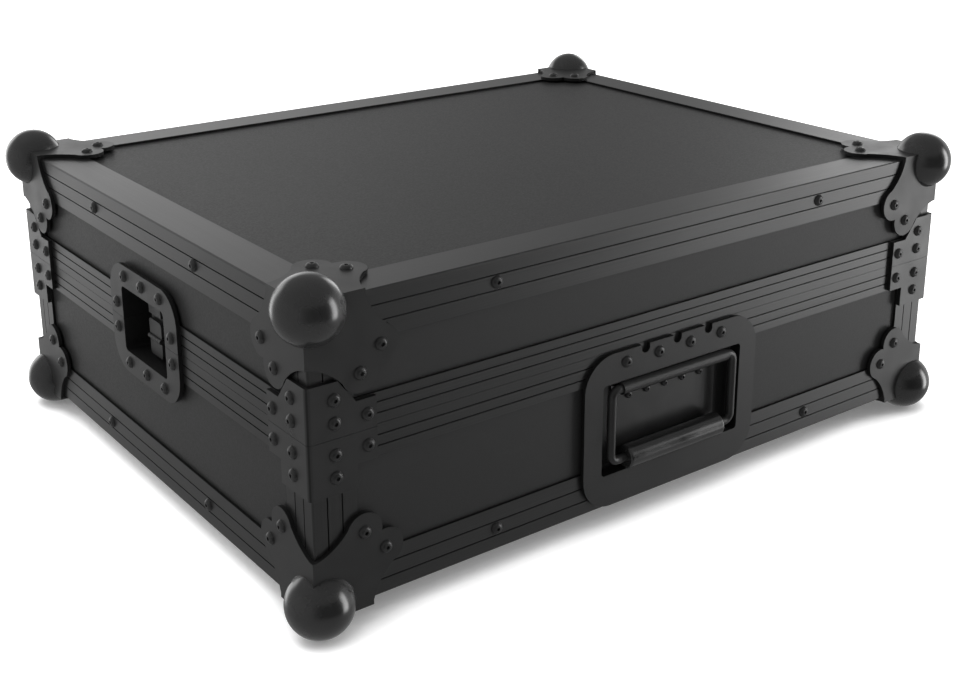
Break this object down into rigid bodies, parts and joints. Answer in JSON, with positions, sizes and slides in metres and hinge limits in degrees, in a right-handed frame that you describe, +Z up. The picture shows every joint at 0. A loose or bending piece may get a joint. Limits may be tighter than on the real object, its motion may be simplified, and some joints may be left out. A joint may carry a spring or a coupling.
{
  "type": "tabletop player flight case",
  "caption": "Black flight case for a tabletop player, with lift-off lid, butterfly latches on both short sides, recessed bail handle, ball corners and foam lining.",
  "frame": {"origin": "on the floor under the middle of the closed case, level with the lowest points of the four lower ball corners", "axes": "+X along the long side, -Y out of the face with the carrying handle, +Z up through the lid"},
  "size_m": [0.5284, 0.4204, 0.2044],
  "materials": {
    "rivets": "satin black blind rivets",
    "ball_corners": "gloss black powder coat",
    "corner_plates": "satin black powder coat",
    "profiles": "satin black anodised",
    "panels": "black phenolic-faced plywood",
    "foam": "dark grey foam",
    "grip": "black moulded grip",
    "handle_steel": "satin black coated wire and strap",
    "dishes": "satin black powder coat",
    "latch_steel": "satin black coated steel"
  },
  "bodies": {
    "base": {"base_back_edge": "profiles", "base_back_left_ball_corner": "ball_corners", "base_back_panel": "panels", "base_back_right_ball_corner": "ball_corners", "base_corner_braces": "corner_plates", "base_corner_posts": "profiles", "base_floor_panel": "panels", "base_foam_bed": "foam", "base_foam_walls": "foam", "base_front_edge": "profiles", "base_front_left_ball_corner": "ball_corners", "base_front_panel": "panels", "base_front_right_ball_corner": "ball_corners", "base_left_edge": "profiles", "base_left_panel": "panels", "base_right_edge": "profiles", "base_right_panel": "panels", "base_rivets": "rivets", "base_tongue_rails": "profiles", "handle_dish": "dishes", "handle_strap": "handle_steel", "latch_left_base_dish": "dishes", "latch_left_guide": "latch_steel", "latch_right_base_dish": "dishes", "latch_right_guide": "latch_steel"},
    "left_latch_spindle": {"latch_left_spindle": "latch_steel", "latch_left_wing_pin": "latch_steel"},
    "left_latch_hook": {"latch_left_hook": "latch_steel"},
    "left_upper_wing": {"latch_left_upper_wing": "latch_steel"},
    "left_lower_wing": {"latch_left_lower_wing": "latch_steel"},
    "right_latch_spindle": {"latch_right_spindle": "latch_steel", "latch_right_wing_pin": "latch_steel"},
    "right_latch_hook": {"latch_right_hook": "latch_steel"},
    "right_upper_wing": {"latch_right_upper_wing": "latch_steel"},
    "right_lower_wing": {"latch_right_lower_wing": "latch_steel"},
    "handle": {"handle_bail": "handle_steel", "handle_grip": "grip"},
    "lid": {"latch_left_lid_dish": "dishes", "latch_right_lid_dish": "dishes", "lid_back_edge": "profiles", "lid_back_left_ball_corner": "ball_corners", "lid_back_panel": "panels", "lid_back_right_ball_corner": "ball_corners", "lid_corner_braces": "corner_plates", "lid_corner_posts": "profiles", "lid_foam_pad": "foam", "lid_foam_walls": "foam", "lid_front_edge": "profiles", "lid_front_left_ball_corner": "ball_corners", "lid_front_panel": "panels", "lid_front_right_ball_corner": "ball_corners", "lid_groove_rails": "profiles", "lid_latch_keepers": "latch_steel", "lid_left_edge": "profiles", "lid_left_panel": "panels", "lid_right_edge": "profiles", "lid_right_panel": "panels", "lid_rivets": "rivets", "lid_top_panel": "panels"}
  },
  "joints": [
    {"name": "lid_lift", "type": "slide", "parent": "base", "child": "lid", "axis": [0, 0, 1], "range_m": [0, 0.25]},
    {"name": "handle_swing", "type": "hinge", "parent": "base", "child": "handle", "pos_m": [0.0038, -0.1988, 0.09105], "axis": [-1, 0, 0], "range_deg": [0, 90]},
    {"name": "left_latch_turn", "type": "hinge", "parent": "base", "child": "left_latch_spindle", "pos_m": [-0.24, 0, 0.10905], "axis": [-1, 0, 0], "range_deg": [0, 180]},
    {"name": "left_hook_draw", "type": "slide", "parent": "base", "child": "left_latch_hook", "axis": [0.7071, 0, -0.7071], "range_m": [0, 0.00636]},
    {"name": "left_upper_wing_fold", "type": "hinge", "parent": "left_latch_spindle", "child": "left_upper_wing", "pos_m": [-0.2451, 0, 0.10905], "axis": [0, -1, 0], "range_deg": [0, 85]},
    {"name": "left_lower_wing_fold", "type": "hinge", "parent": "left_latch_spindle", "child": "left_lower_wing", "pos_m": [-0.2451, 0, 0.10905], "axis": [0, 1, 0], "range_deg": [0, 85]},
    {"name": "right_latch_turn", "type": "hinge", "parent": "base", "child": "right_latch_spindle", "pos_m": [0.24, 0, 0.10905], "axis": [1, 0, 0], "range_deg": [0, 180]},
    {"name": "right_hook_draw", "type": "slide", "parent": "base", "child": "right_latch_hook", "axis": [-0.7071, 0, -0.7071], "range_m": [0, 0.00636]},
    {"name": "right_upper_wing_fold", "type": "hinge", "parent": "right_latch_spindle", "child": "right_upper_wing", "pos_m": [0.2451, 0, 0.10905], "axis": [0, 1, 0], "range_deg": [0, 85]},
    {"name": "right_lower_wing_fold", "type": "hinge", "parent": "right_latch_spindle", "child": "right_lower_wing", "pos_m": [0.2451, 0, 0.10905], "axis": [0, -1, 0], "range_deg": [0, 85]}
  ],
  "couplings": [
    {"joint": "left_latch_turn", "follows": "left_hook_draw", "rad_per_m": 493.16},
    {"joint": "right_latch_turn", "follows": "right_hook_draw", "rad_per_m": 493.16}
  ]
}
